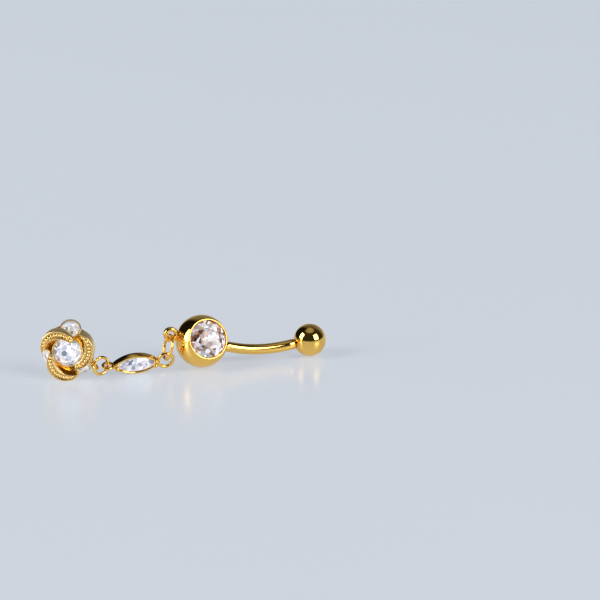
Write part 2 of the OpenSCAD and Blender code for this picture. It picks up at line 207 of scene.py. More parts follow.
class Layout:
    """Where each piece lies, worked out from the sizes as the solids are."""

    # How far soldered pieces run into each other
    solder = 0.12 * MM
    # Where the upper jump ring rests, as shares of the ball's eye, the link's eye and the link's place
    top_rest = 0.25
    foot_rest = 0.1
    side_rest = 0.4
    stone_gap = 0.05 * MM
    # Directions of the petals' own middles, and from there back to a petal's outer end, in degrees
    petal_turns = (140, 20, 260)
    petal_lead = 56
    # Level of the petals' underside at the outer end, and how far it climbs
    petal_under = -0.7 * MM
    petal_climb = 1.6 * MM
    # A petal's band swells and narrows as this stretch of half a sine wave
    band_from = 0.04
    band_stretch = 0.84
    band_power = 0.8
    flower_eye_wire = 0.4 * MM
    flower_eye_r = 0.74 * MM
    flower_eye_turn = -44
    flower_back = 0.9 * MM
    centre_level = 0.5 * MM
    side_level = -0.55 * MM
    side_turns = (204, 314, 84)
    # Thickness of a stone's girdle and depth below it, as shares of its radius
    girdle_share = 0.06
    pavilion_share = 0.86

    def __init__(self, bar, drop):
        self.bar = bar
        self.drop = drop
        self.lay_bar(bar)
        self.lay_link(bar, drop)
        self.lay_flower(drop)

    def lay_bar(self, bar):
        self.gem_r = bar.gem_ball_d / 2
        self.top_r = bar.top_ball_d / 2
        bend = bar.bar_bend
        self.arc_r = (bar.bar_length - bar.bar_straight) / bend
        past = bar.bar_straight + self.top_r
        self.top_run = self.gem_r + self.arc_r * math.sin(bend) + past * math.cos(bend)
        self.top_lift = self.arc_r * (1 - math.cos(bend)) + past * math.sin(bend)
        span = math.hypot(self.top_run, self.top_lift)
        dip = math.atan2(self.top_lift, self.top_run) + math.asin((self.gem_r - self.top_r) / span)
        down = shift(0, 0, self.gem_r) @ turn(dip, "Y")
        half = bend / 2
        rise = self.arc_r * (1 - math.cos(half))
        middle = down @ Vector((self.gem_r + self.arc_r * math.sin(half), 0, rise))
        self.origin = Matrix.Translation(-middle)
        self.upright = self.origin @ down
        self.crystal_r = bar.crystal_d / 2
        self.rim_r = self.crystal_r + self.stone_gap + bar.crystal_rim
        self.rim_out = math.sqrt(self.gem_r**2 - self.rim_r**2)
        self.to_crystal = self.upright @ turn(math.pi / 2 - bar.crystal_roll, "X")
        self.eye_wire = (bar.eye_d - bar.eye_hole_d) / 2
        self.eye_out = self.gem_r + bar.eye_d / 2 - self.solder
        self.eye_at = down @ Vector((-self.eye_out, 0, 0))
        self.floor = -middle.z

    def lay_link(self, bar, drop):
        lean = drop.link_lean
        self.link_z = drop.link_w / 2 * math.cos(lean) + drop.link_depth / 2 * math.sin(lean)
        self.link_arc = ((drop.link_l / 2) ** 2 + (drop.link_w / 2) ** 2) / drop.link_w
        self.right_eye_r = (drop.right_eye_d - drop.claw_d) / 2
        self.left_eye_r = (drop.left_eye_d - drop.claw_d) / 2
        self.right_eye_out = drop.link_l / 2 + self.right_eye_r - self.solder
        self.left_eye_out = drop.link_l / 2 + self.left_eye_r - self.solder
        top_z = self.eye_at.z - (bar.eye_hole_d - bar.upper_wire_d) * self.top_rest
        self.ring_top = Vector((self.eye_at.x, drop.link_y * self.side_rest, top_z))
        fall = top_z - (self.link_z + self.right_eye_r * self.foot_rest)
        self.ring_foot = self.ring_top - Vector((fall * math.tan(bar.upper_slant), 0, fall))
        link_x = self.ring_foot.x - self.right_eye_out
        self.left_eye_at = Vector((link_x - self.left_eye_out, drop.link_y, self.link_z))
        at = self.origin @ shift(link_x, drop.link_y, self.link_z)
        self.to_link = at @ turn(math.pi / 2 + lean, "X")

    def petal_band(self, t):
        swell = math.sin(math.pi * (self.band_from + self.band_stretch * t))
        return self.drop.band_w * swell**self.band_power

    def petal_top(self, t):
        return self.petal_under + self.drop.petal_depth + self.drop.petal_rise * t

    def petal_floor(self, t):
        return self.petal_under + self.petal_climb * t

    def petal_point(self, turned, t, inward, level):
        """A point of a petal in the flower's own frame, this far in from its outer edge."""
        a = math.radians(turned + self.petal_lead) - self.drop.petal_sweep * t
        way = math.radians(turned)
        off = self.drop.petal_off
        r = self.drop.flower_d / 2 - off - inward
        across = off * math.cos(way) + r * math.cos(a)
        up = off * math.sin(way) + r * math.sin(a)
        return Vector((across, up, level))

    def lay_flower(self, drop):
        steps = 4 * drop.beads
        shares = [k / steps for k in range(steps + 1)]
        low = min(self.petal_point(way, t, 0, 0).y for way in self.petal_turns for t in shares)
        flower_z = -low
        past = self.petal_turns[1] + self.petal_lead - self.flower_eye_turn
        t = math.radians(past) / drop.petal_sweep
        beyond = self.flower_eye_r + self.flower_eye_wire / 2 - self.solder
        level = self.petal_floor(t) + self.flower_eye_wire
        self.flower_eye_in = self.petal_point(self.petal_turns[1], t, -beyond, level)
        across = Vector((math.cos(drop.flower_turn), -math.sin(drop.flower_turn), 0))
        face = Vector((-math.sin(drop.flower_turn), -math.cos(drop.flower_turn), 0))
        eye = self.flower_eye_in
        to_eye = across * eye.x + Vector((0, 0, eye.y)) + face * eye.z
        eye_y = self.flower_back + to_eye.y
        eye_z = flower_z + to_eye.z
        aside = math.hypot(eye_y - drop.link_y, eye_z - self.link_z)
        gap = math.sqrt(drop.lower_ring_d**2 - aside**2)
        self.flower_eye_at = Vector((self.left_eye_at.x - gap, eye_y, eye_z))
        at = shift(self.flower_eye_at.x - to_eye.x, self.flower_back, flower_z)
        aim = turn(-drop.flower_turn, "Z") @ turn(math.pi / 2, "X")
        self.to_flower = self.origin @ at @ aim

    def to_side_stone(self, number):
        return (
            self.to_flower
            @ turn(math.radians(self.side_turns[number - 1]), "Z")
            @ shift(self.drop.side_stone_out, 0, self.side_level)
            @ turn(self.drop.side_stone_tilt, "Y")
        )


def layout():
    scene = bpy.context.scene
    return Layout(scene.navel_bar, scene.navel_drop)


def mesh_of(form, name):
    """The form's mesh as Blender keeps it; the form is let go."""
    data = bpy.data.meshes.new(name)
    form.to_mesh(data)
    form.free()
    return data


def add_object(name, data):
    made = bpy.data.objects.new(name, data)
    bpy.context.scene.collection.objects.link(made)
    return made


# Under this radius a turned shape closes in a point, and points nearer than this are one
POINT_RADIUS = 1e-9
SAME_PLACE = 1e-7
# How far in from the corner the middle of a rounded edge lies, as a share of its rounding
ROUND_MIDDLE = 0.3


class Form:
    """One mesh, gathered from turned, swept and lofted shapes."""

    def __init__(self):
        self.mesh = bmesh.new()
        # Each point's share of painted shade, which the flower's material reads to darken its recesses
        self.tone = self.mesh.verts.layers.float.new("recess")

    # The last argument is the share of painted recess shade that the points get
    def points(self, places, place, recess=0.0):
        made = []
        for p in places:
            v = self.mesh.verts.new(place @ Vector(p))
            v[self.tone] = recess
            made.append(v)
        return made

    def skin(self, rows, loop=False):
        """Faces between closed rows of points, as long as each other or of a single point."""
        pairs = list(zip(rows, rows[1:]))
        if loop:
            pairs.append((rows[-1], rows[0]))
        for a, b in pairs:
            count = max(len(a), len(b))
            for j in range(count):
                n = (j + 1) % count
                corners = (a[j % len(a)], a[n % len(a)], b[n % len(b)], b[j % len(b)])
                self.mesh.faces.new(tuple(dict.fromkeys(corners)))

    def cap(self, rows):
        """Flat faces over the first and last of the rows."""
        self.mesh.faces.new(list(reversed(rows[0])))
        self.mesh.faces.new(rows[-1])

    def turned(self, profile, place=Matrix(), sides=96):
        """A shape turned round Z from (radius, level) pairs; a radius of 0 closes it in a point."""
        rows = []
        for r, z in profile:
            ring = [(0, 0, z)] if r <= POINT_RADIUS else round_of(r, sides, z)
            rows.append(self.points(ring, place))
        self.skin(rows)

    def tube(self, path, radius, place=Matrix(), sides=24, loop=False):
        """A round wire along a path; radius is a number or a function of the share along it."""
        path = [Vector(p) for p in path]
        last = len(path) - 1
        rows = []
        side = None
        for k, p in enumerate(path):
            if loop:
                ahead = path[(k + 1) % len(path)] - path[k - 1]
            else:
                ahead = path[min(k + 1, last)] - path[max(k - 1, 0)]
            ahead.normalize()
            if side is None:
                side = ahead.orthogonal().normalized()
            side = (side - ahead * side.dot(ahead)).normalized()
            up = ahead.cross(side)
            r = radius(k / last) if callable(radius) else radius
            ring = [p + side * x + up * y for x, y, _ in round_of(r, sides)]
            rows.append(self.points(ring, place))
        self.skin(rows, loop)
        if not loop:
            self.cap(rows)

    def bead(self, centre, radius, place=Matrix(), flat=1.0, rows=8, sides=16):
        """A small ball, or a dome when flat is under 1."""
        profile = [(0, -radius * flat)]
        for k in range(1, rows):
            a = -math.pi / 2 + math.pi * k / rows
            profile.append((radius * math.cos(a), radius * flat * math.sin(a)))
        profile.append((0, radius * flat))
        self.turned(profile, place @ Matrix.Translation(centre), sides)

    def finish(self, name, material, node=None, body=RING_BODY, slot="gold", crease=35):
        """Makes the object, smooth but for its real edges, and sets what carries it."""
        bmesh.ops.remove_doubles(self.mesh, verts=self.mesh.verts, dist=SAME_PLACE)
        bmesh.ops.recalc_face_normals(self.mesh, faces=self.mesh.faces)
        data = mesh_of(self.mesh, name)
        for face in data.polygons:
            face.use_smooth = True
        data.set_sharp_from_angle(angle=math.radians(crease))
        data.materials.append(material)
        piece = add_object(name, data)
        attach(piece, body)
        if node:
            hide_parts(node)
        return piece


def arc_points(centre, radius, start, end, steps):
    """Points (radius, level) along an arc of a turned profile, angles in degrees."""
    cr, cz = centre
    turns = [math.radians(start + (end - start) * k / steps) for k in range(steps + 1)]
    return [(cr + radius * math.cos(a), cz + radius * math.sin(a)) for a in turns]


class Level:
    """A value in a material; sums of it add Math nodes."""

    def __init__(self, recipe, socket):
        self.recipe = recipe
        self.socket = socket

    def sum(self, operation, other, flip=False):
        first, second = (other, self) if flip else (self, other)
        return self.recipe.node("ShaderNodeMath", {"operation": operation}, {0: first, 1: second})

    def __add__(self, other):
        return self.sum("ADD", other)

    __radd__ = __add__

    def __sub__(self, other):
        return self.sum("SUBTRACT", other)

    def __rsub__(self, other):
        return self.sum("SUBTRACT", other, flip=True)

    def __mul__(self, other):
        return self.sum("MULTIPLY", other)

    __rmul__ = __mul__


class Recipe:
    """The nodes of one material or of the world."""

    def __init__(self, owner):
        owner.use_nodes = True
        self.tree = owner.node_tree
        self.tree.nodes.clear()

    def node(self, kind, settings=None, sockets=None, out=0):
        """Adds a node, its settings first, then the values or links of its sockets."""
        made = self.tree.nodes.new(kind)
        for key, value in (settings or {}).items():
            if key == "stops":
                self.set_stops(made.color_ramp, value)
            else:
                setattr(made, key, value)
        for key, value in (sockets or {}).items():
            if isinstance(value, Level):
                self.tree.links.new(value.socket, made.inputs[key])
            else:
                made.inputs[key].default_value = value
        return Level(self, made.outputs[out]) if made.outputs else None

    @staticmethod
    def set_stops(ramp, stops):
        while len(ramp.elements) < len(stops):
            ramp.elements.new(0.5)
        for element, (place, tint) in zip(ramp.elements, stops):
            element.position = place
            element.color = (*tint, 1.0) if len(tint) == 3 else tint

    def mix(self, factor, first, second):
        """A colour between two others."""
        sockets = {0: factor, 6: first, 7: second}
        return self.node("ShaderNodeMix", {"data_type": "RGBA"}, sockets, out=2)

    def rise(self, value, start, end):
        """From 0 where the value is at the start to 1 where it is at the end."""
        return self.node("ShaderNodeMapRange", sockets={0: value, 1: start, 2: end})

    def speckle(self, scale, detail=2.0, roughness=0.5):
        """Noise over the object's own coordinates, from 0 to 1."""
        place = self.node("ShaderNodeTexCoord", out=3)
        return self.node(
            "ShaderNodeTexNoise",
            sockets={"Vector": place, "Scale": scale, "Detail": detail, "Roughness": roughness},
        )


def opaque(tint):
    return (*tint, 1.0)


def new_material(name):
    material = bpy.data.materials.get(name) or bpy.data.materials.new(name)
    return material, Recipe(material)


# Patterns to a metre: slow drifts of tone, waves left by polishing, haze, and wear on cut facets
DRIFT_SCALE = 240.0
WAVE_SCALE = 900.0
HAZE_SCALE = 2200.0
WEAR_SCALE = 3000.0
# Roughness of the haze at its clearest and the part that it adds, as shares of a finish's own
HAZE_LEAST = 0.6
HAZE_ADDED = 0.8
# Roughness added in the petals' channels, greatest roughness of a facet, and height of the waves
RECESS_ROUGHNESS = 0.18
FACET_ROUGHNESS = 0.01
WAVE_HEIGHT = 0.02 * MM
POLISHED_RIPPLE = 0.05
CAST_RIPPLE = 0.25


def gold_plate(name, roughness, ripple, cast_with_recess_shade=False):
    """Gold plate: slow drifts of tone, faint haze and the softest waves left by polishing, and on the
    flower painted shade in the petals' channels.
    """
    finish = bpy.context.scene.navel_finish
    material, recipe = new_material(name)
    drift = recipe.speckle(DRIFT_SCALE)
    # The flower takes the paler golds, painted light standing in for the light that its petals catch
    thin = finish.brightened_cast_gold if cast_with_recess_shade else finish.gold
    thick = finish.brightened_cast_deep if cast_with_recess_shade else finish.deep_gold
    tint = recipe.mix(drift, opaque(thin), opaque(thick))
    haze = recipe.speckle(HAZE_SCALE, 4.0, 0.6)
    rough = haze * (roughness * HAZE_ADDED) + roughness * HAZE_LEAST
    # Painted shade: the petals' channels are darkened towards the recess colour by the share on their
    # points, and made rougher
    if cast_with_recess_shade:
        recess_shade_share = recipe.node("ShaderNodeAttribute", {"attribute_name": "recess"}, out=2)
        tint = recipe.mix(recess_shade_share, tint, opaque(finish.recess))
        rough = recess_shade_share * RECESS_ROUGHNESS + rough
    waves = recipe.speckle(WAVE_SCALE)
    bump = recipe.node(
        "ShaderNodeBump", sockets={"Strength": ripple, "Distance": WAVE_HEIGHT, "Height": waves}
    )
    shader = recipe.node(
        "ShaderNodeBsdfPrincipled",
        sockets={"Base Color": tint, "Metallic": 1.0, "Roughness": rough, "Normal": bump},
    )
    recipe.node("ShaderNodeOutputMaterial", sockets={"Surface": shader})
    return material


# A cut stone's look: painted patches of light to a metre, how strongly it bends light, how clear it
# is, and the tones of its painted patches of light
StoneLook = namedtuple("StoneLook", "name grain bend clear tones")

# Painted glints and reflections: tones from dark through peach reflections of the gold to white
# glints, which also glow
CRYSTAL_GLINT_TONES = [
    (0.0, (0.02, 0.015, 0.015)), (0.17, (0.16, 0.05, 0.03)), (0.3, (0.55, 0.29, 0.14)),
    (0.46, (0.24, 0.27, 0.32)), (0.64, (0.62, 0.60, 0.62)), (0.8, (0.85, 0.88, 0.94)),
    (1.0, (1.0, 1.0, 1.0)),
]
STONE_GLINT_TONES = [
    (0.0, (0.08, 0.09, 0.12)), (0.15, (0.30, 0.33, 0.40)), (0.4, (0.55, 0.60, 0.70)),
    (0.65, (0.78, 0.70, 0.70)), (0.85, (0.86, 0.90, 0.98)), (1.0, (1.0, 1.0, 1.0)),
]
CRYSTAL = StoneLook("lead_crystal", 1400.0, 1.75, 0.5, CRYSTAL_GLINT_TONES)
CLEAR_STONE = StoneLook("clear_stone", 1600.0, 2.1, 0.45, STONE_GLINT_TONES)


def cut_stone(look):
    """A cut stone: each facet, and each seen through it, gets its own painted patch of light, in its
    colour and in its glow.
    """
    finish = bpy.context.scene.navel_finish
    material, recipe = new_material(look.name)
    place = recipe.node("ShaderNodeTexCoord", out=3)
    facing = recipe.node("ShaderNodeNewGeometry", out=3)
    spot = recipe.node(
        "ShaderNodeVectorMath",
        {"operation": "MULTIPLY_ADD"},
        {0: place, 1: (look.grain, look.grain, look.grain), 2: facing},
    )
    cell = recipe.node("ShaderNodeTexVoronoi", sockets={"Vector": spot, "Scale": 1.0}, out=2)
    lot = recipe.node("ShaderNodeTexWhiteNoise", sockets={"Vector": cell})
    # Painted glints: body holds each cell's painted patch of light, fed into the colour and, glowing,
    # into the emission
    body = recipe.node("ShaderNodeValToRGB", {"stops": look.tones}, {0: lot})
    polish = recipe.speckle(WEAR_SCALE) * FACET_ROUGHNESS
    shader = recipe.node(
        "ShaderNodeBsdfPrincipled",
        sockets={
            "Base Color": body, "Roughness": polish, "IOR": look.bend,
            "Specular IOR Level": finish.mirror, "Transmission Weight": look.clear,
            "Emission Color": body, "Emission Strength": finish.glint_glow,
        },
    )
    recipe.node("ShaderNodeOutputMaterial", sockets={"Surface": shader})
    return material


def polished():
    return gold_plate("polished_gold", bpy.context.scene.navel_finish.polish, POLISHED_RIPPLE)


# The flower's plate: the paler golds, painted light, with painted shade in its channels
def cast():
    roughness = bpy.context.scene.navel_finish.cast_polish
    return gold_plate("brightened_cast_gold", roughness, CAST_RIPPLE, cast_with_recess_shade=True)


class NAVEL_OT_crystal_ball(Operator):
    """Turn the crystal ball with its seat and rim, and solder its eye on"""

    bl_idname = "navel.crystal_ball"
    bl_label = "Crystal Ball"

    # Radius of the rim's rounded lip; where its round starts and ends, where the ball's own starts
    # and how far short of the lip that stops, in degrees
    lip = 0.15 * MM
    lip_start = -15
    lip_end = 120
    ball_start = -88.5
    lip_blend = 2.2
    # Depth of the seat's belt, in girdles
    belt_girdles = 1.5

    def execute(self, context):
        lay = layout()
        self.turn_ball(lay)
        self.bend_eye(lay, lay.bar)
        return {"FINISHED"}

    def turn_ball(self, lay):
        form = Form()
        lip = self.lip
        start = math.degrees(math.atan2(lay.rim_out, lay.rim_r)) - self.lip_blend
        seat_r = lay.crystal_r + lay.stone_gap
        profile = [(0, -lay.gem_r)] + arc_points((0, 0), lay.gem_r, self.ball_start, start, 72)
        middle = (seat_r + lip / 2, lay.rim_out)
        profile += arc_points(middle, lip, self.lip_start, self.lip_end, 10)
        girdle = lay.crystal_r * lay.girdle_share
        belt = lay.rim_out - girdle * self.belt_girdles - lay.stone_gap
        foot = belt - seat_r * lay.pavilion_share - lay.stone_gap
        profile += [(seat_r, lay.rim_out - 2 * lip), (seat_r, belt), (lay.stone_gap, foot), (0, foot)]
        form.turned(profile, lay.to_crystal, sides=144)
        form.finish("crystal_ball", polished(), "barbell")

    def bend_eye(self, lay, bar):
        """The thick eye: a wire drawn out flat along its hole, bent into a ring."""
        eye = Form()
        flat = (bar.eye_w - lay.eye_wire) / 2
        round_r = lay.eye_wire / 2
        section = arc_points((0, flat), round_r, 0, 180, 12)
        section += arc_points((0, -flat), round_r, 180, 360, 12)
        ring_r = (bar.eye_hole_d + lay.eye_wire) / 2
        place = lay.upright @ shift(-lay.eye_out, 0, 0) @ turn(math.pi / 2, "X")
        rows = []
        for x, y, _ in round_of(1.0, 64):
            across = [(x * (ring_r + r), y * (ring_r + r), z) for r, z in section]
            rows.append(eye.points(across, place))
        eye.skin(rows, loop=True)
        eye.finish("ball_eye", polished())


class NAVEL_OT_bar(Operator):
    """Bend the bar, flare its soldered root and cut the thread on its stud"""

    bl_idname = "navel.bar"
    bl_label = "Curved Bar"

    # Length of the root inside the crystal ball, in steps, and the flare that fades over more steps
    root = 0.4 * MM
    root_steps = 6
    flare = 0.16 * MM
    flare_steps = 9
    arc_steps = 48
    # Chamfer at the bar's shoulder, and the share of it that the radius loses
    chamfer = 0.12 * MM
    chamfer_slope = 0.7
    # Depth of the thread, as a share of its pitch, and the rings that make one turn of it
    thread_depth = 0.28
    thread_rings = 8
    # Length of the stud's tapered tip, and how much narrower it gets along it
    tip_length = 0.3 * MM
    tip_slope = 0.7

    def execute(self, context):
        lay = layout()
        bar = lay.bar
        bar_r = bar.bar_d / 2
        bend = bar.bar_bend
        steps = self.root_steps
        path = [(lay.gem_r - self.root * (1 - k / steps), 0, 0) for k in range(steps)]
        for k in range(self.arc_steps + 1):
            a = bend * k / self.arc_steps
            path.append((lay.gem_r + lay.arc_r * math.sin(a), 0, lay.arc_r * (1 - math.cos(a))))
        arc_end = Vector(path[-1])
        along = Vector((math.cos(bend), 0, math.sin(bend)))
        shoulder = arc_end + along * bar.bar_straight
        path += [arc_end + along * (bar.bar_straight - self.chamfer), shoulder]
        last = len(path) - 1

        def radius(t):
            k = round(t * last)
            if k == last:
                return bar_r - self.chamfer * self.chamfer_slope
            fade = max(0.0, 1 - k / self.flare_steps)
            return bar_r + self.flare * fade**2

        form = Form()
        form.tube(path, radius, lay.upright, sides=48)
        form.finish("curved_bar", polished())
        self.cut_thread(lay, bar, shoulder, along)
        return {"FINISHED"}

    def cut_thread(self, lay, bar, foot, along):
        """The stud as a stack of rings whose ridge climbs, with a cone at its tip."""
        stud = Form()
        stud_r = bar.stud_d / 2
        sides = 32
        cut = bar.thread_pitch * self.thread_depth
        rings = int(bar.stud_length / bar.thread_pitch * self.thread_rings)
        aim = along.to_track_quat("Z", "Y").to_matrix().to_4x4()
        place = lay.upright @ Matrix.Translation(foot) @ aim
        rows = []
        for k in range(rings + 1):
            z = bar.stud_length * k / rings
            tip = max(0.0, z - (bar.stud_length - self.tip_length))
            ring = []
            for j, (x, y, _) in enumerate(round_of(1.0, sides)):
                phase = (z / bar.thread_pitch + j / sides) % 1.0
                depth = cut * (1 - abs(2 * phase - 1))
                r = stud_r - depth - tip * self.tip_slope
                ring.append((r * x, r * y, z))
            rows.append(stud.points(ring, place))
        stud.skin(rows)
        stud.cap(rows)
        stud.finish("threaded_stud", polished(), crease=25)


class NAVEL_OT_screwed_ball(Operator):
    """Turn the screwed ball with its countersunk hole"""

    bl_idname = "navel.screwed_ball"
    bl_label = "Screwed Ball"

    # Room round the stud, depth of the countersink and room past the stud, and the drill's point
    stud_gap = 0.04 * MM
    ball_gap = 0.05 * MM
    drill_point = 0.25 * MM
    # Where the ball's round starts, just off its top, in degrees
    ball_start = 88.0

    def execute(self, context):
        lay = layout()
        bar = lay.bar
        hole_r = bar.stud_d / 2 + self.stud_gap
        socket_r = bar.bar_d / 2 + self.stud_gap
        face = math.degrees(math.acos(socket_r / lay.top_r))
        socket_z = -math.sqrt(lay.top_r**2 - socket_r**2) + self.ball_gap
        hole_end = -lay.top_r + bar.stud_length + self.ball_gap
        profile = [(0, lay.top_r)] + arc_points((0, 0), lay.top_r, self.ball_start, -face, 64)
        profile += [(socket_r, socket_z), (hole_r, socket_z), (hole_r, hole_end)]
        profile.append((0, hole_end + self.drill_point))
        aim = turn(math.pi / 2 - bar.bar_bend, "Y")
        place = lay.upright @ shift(lay.top_run, 0, lay.top_lift) @ aim
        form = Form()
        form.turned(profile, place, sides=112)
        form.finish("screwed_ball", polished(), "top_ball", BALL_BODY)
        return {"FINISHED"}


class NAVEL_OT_jump_rings(Operator):
    """Bend the two wire jump rings, each with its hairline split"""

    bl_idname = "navel.jump_rings"
    bl_label = "Jump Rings"

    # Steps round a ring, and the steps at which the two rings are split
    steps = 80
    upper_split = 20
    lower_split = 12
    # Half of the split, the chamfer of the wire's ends and the share of it that the radius loses
    gap = 0.03 * MM
    chamfer = 0.05 * MM
    chamfer_slope = 0.6

    def execute(self, context):
        lay = layout()
        bar = lay.bar
        drop = lay.drop
        middle = (lay.ring_top + lay.ring_foot) / 2
        place = lay.origin @ Matrix.Translation(middle) @ turn(math.pi / 2 + bar.upper_slant, "Y")
        across = (lay.ring_top - lay.ring_foot).length
        upper = self.bend_wire(across / 2, bar.upper_wire_d / 2, place, self.upper_split)
        upper.finish("upper_jump_ring_wire", polished(), "upper_jump_ring")
        span = lay.flower_eye_at - lay.left_eye_at
        middle = (lay.flower_eye_at + lay.left_eye_at) / 2
        aim = turn(math.atan2(span.y, span.x), "Z") @ turn(-math.asin(span.z / span.length), "Y")
        place = lay.origin @ Matrix.Translation(middle) @ aim @ turn(math.pi / 2, "X")
        ring_r = drop.lower_ring_d / 2
        lower = self.bend_wire(ring_r, drop.lower_wire_d / 2, place, self.lower_split)
        lower.finish("lower_jump_ring_wire", polished(), "lower_jump_ring")
        return {"FINISHED"}

    def bend_wire(self, ring_r, radius, place, split):
        """A round of wire with a hairline gap at one step of its path."""
        turns = [math.tau * (k + split) / self.steps for k in range(self.steps)]
        points = [Vector((ring_r * math.cos(a), ring_r * math.sin(a), 0)) for a in turns]
        first = points[0]
        ahead = (points[1] - first).normalized()
        behind = (points[-1] - first).normalized()
        full = self.gap + self.chamfer
        head = [first + ahead * self.gap, first + ahead * full]
        tail = [first + behind * full, first + behind * self.gap]
        run = head + points[1:] + tail
        last = len(run) - 1
        end_r = radius - self.chamfer * self.chamfer_slope

        def wire(t):
            return end_r if round(t * last) in (0, last) else radius

        form = Form()
        form.tube(run, wire, place, sides=24)
        return form


class NAVEL_OT_marquise_link(Operator):
    """Form the marquise frame with its ledge, claws and eyes"""

    bl_idname = "navel.marquise_link"
    bl_label = "Marquise Link"

    # Ledge that the stone rests on, how deep its girdle lies, and the rounding of the frame's edges
    ledge = 0.16 * MM
    stone_sink = 0.25 * MM
    edge = 0.06 * MM
    # Points along each of the outline's two arcs
    arc_steps = 40
    # Claws, as shares of their wire: distance in from the point and distance off the middle
    claw_in = 1.3
    claw_off = 0.62
    # Claws' ball tips: how far further out they are and how wide, as shares, and their level
    tip_out = 1.25
    tip_wide = 1.35
    tip_level = 0.08 * MM
    # Levels of the claw's last two steps, from the frame's face
    claw_neck = -0.05 * MM
    claw_top = 0.1 * MM

    def outline(self, lay, inset):
        """Points round the frame's outline, drawn in by the inset, from its right point."""
        r = lay.link_arc - inset
        sink = lay.link_arc - lay.drop.link_w / 2
        sweep = math.asin(math.sqrt(r**2 - sink**2) / r)
        turns = [sweep - 2 * sweep * k / self.arc_steps for k in range(self.arc_steps)]
        top = [(r * math.sin(a), r * math.cos(a) - sink) for a in turns]
        return top + [(-x, -y) for x, y in top]

    def execute(self, context):
        lay = layout()
        drop = lay.drop
        half = drop.link_depth / 2
        edge = self.edge
        corner = edge * ROUND_MIDDLE
        seat = half - self.stone_sink - self.ledge
        inner = drop.link_wall
        section = [
            (edge, -half), (0, -half + edge), (0, half - edge), (corner, half - corner),
            (edge, half), (inner - edge, half), (inner, half - edge), (inner, seat),
            (inner + self.ledge, seat), (inner + self.ledge, -half),
        ]
        form = Form()
        rows = []
        for inset, z in section:
            outline = [(x, y, z) for x, y in self.outline(lay, inset)]
            rows.append(form.points(outline, lay.to_link))
        form.skin(rows, loop=True)
        self.add_claws(form, lay, drop)
        form.finish("marquise_frame", polished(), "marquise_setting", crease=40)
        eyes = Form()
        right_place = lay.to_link @ shift(lay.right_eye_out, 0, 0)
        left_place = lay.to_link @ shift(-lay.left_eye_out, 0, 0) @ turn(math.pi / 2, "X")
        for r, place in ((lay.right_eye_r, right_place), (lay.left_eye_r, left_place)):
            eyes.tube(round_of(r, 56), drop.claw_d / 2, place, sides=24, loop=True)
        eyes.finish("link_eyes", polished())
        return {"FINISHED"}

    def add_claws(self, form, lay, drop):
        """Four round claws at the points, each with a ball tip bent in over the stone."""
        half = drop.link_depth / 2
        r = drop.claw_d / 2
        for side in (-1, 1):
            for edge in (-1, 1):
                x = side * (drop.link_l / 2 - drop.claw_d * self.claw_in)
                y = edge * drop.claw_d * self.claw_off
                levels = (r - half, 0, half + self.claw_neck, half + self.claw_top)
                form.tube([(x, y, z) for z in levels], r, lay.to_link, sides=20)
                tip = (x, y * self.tip_out, half + self.tip_level)
                form.bead(tip, r * self.tip_wide, lay.to_link, rows=12, sides=20)


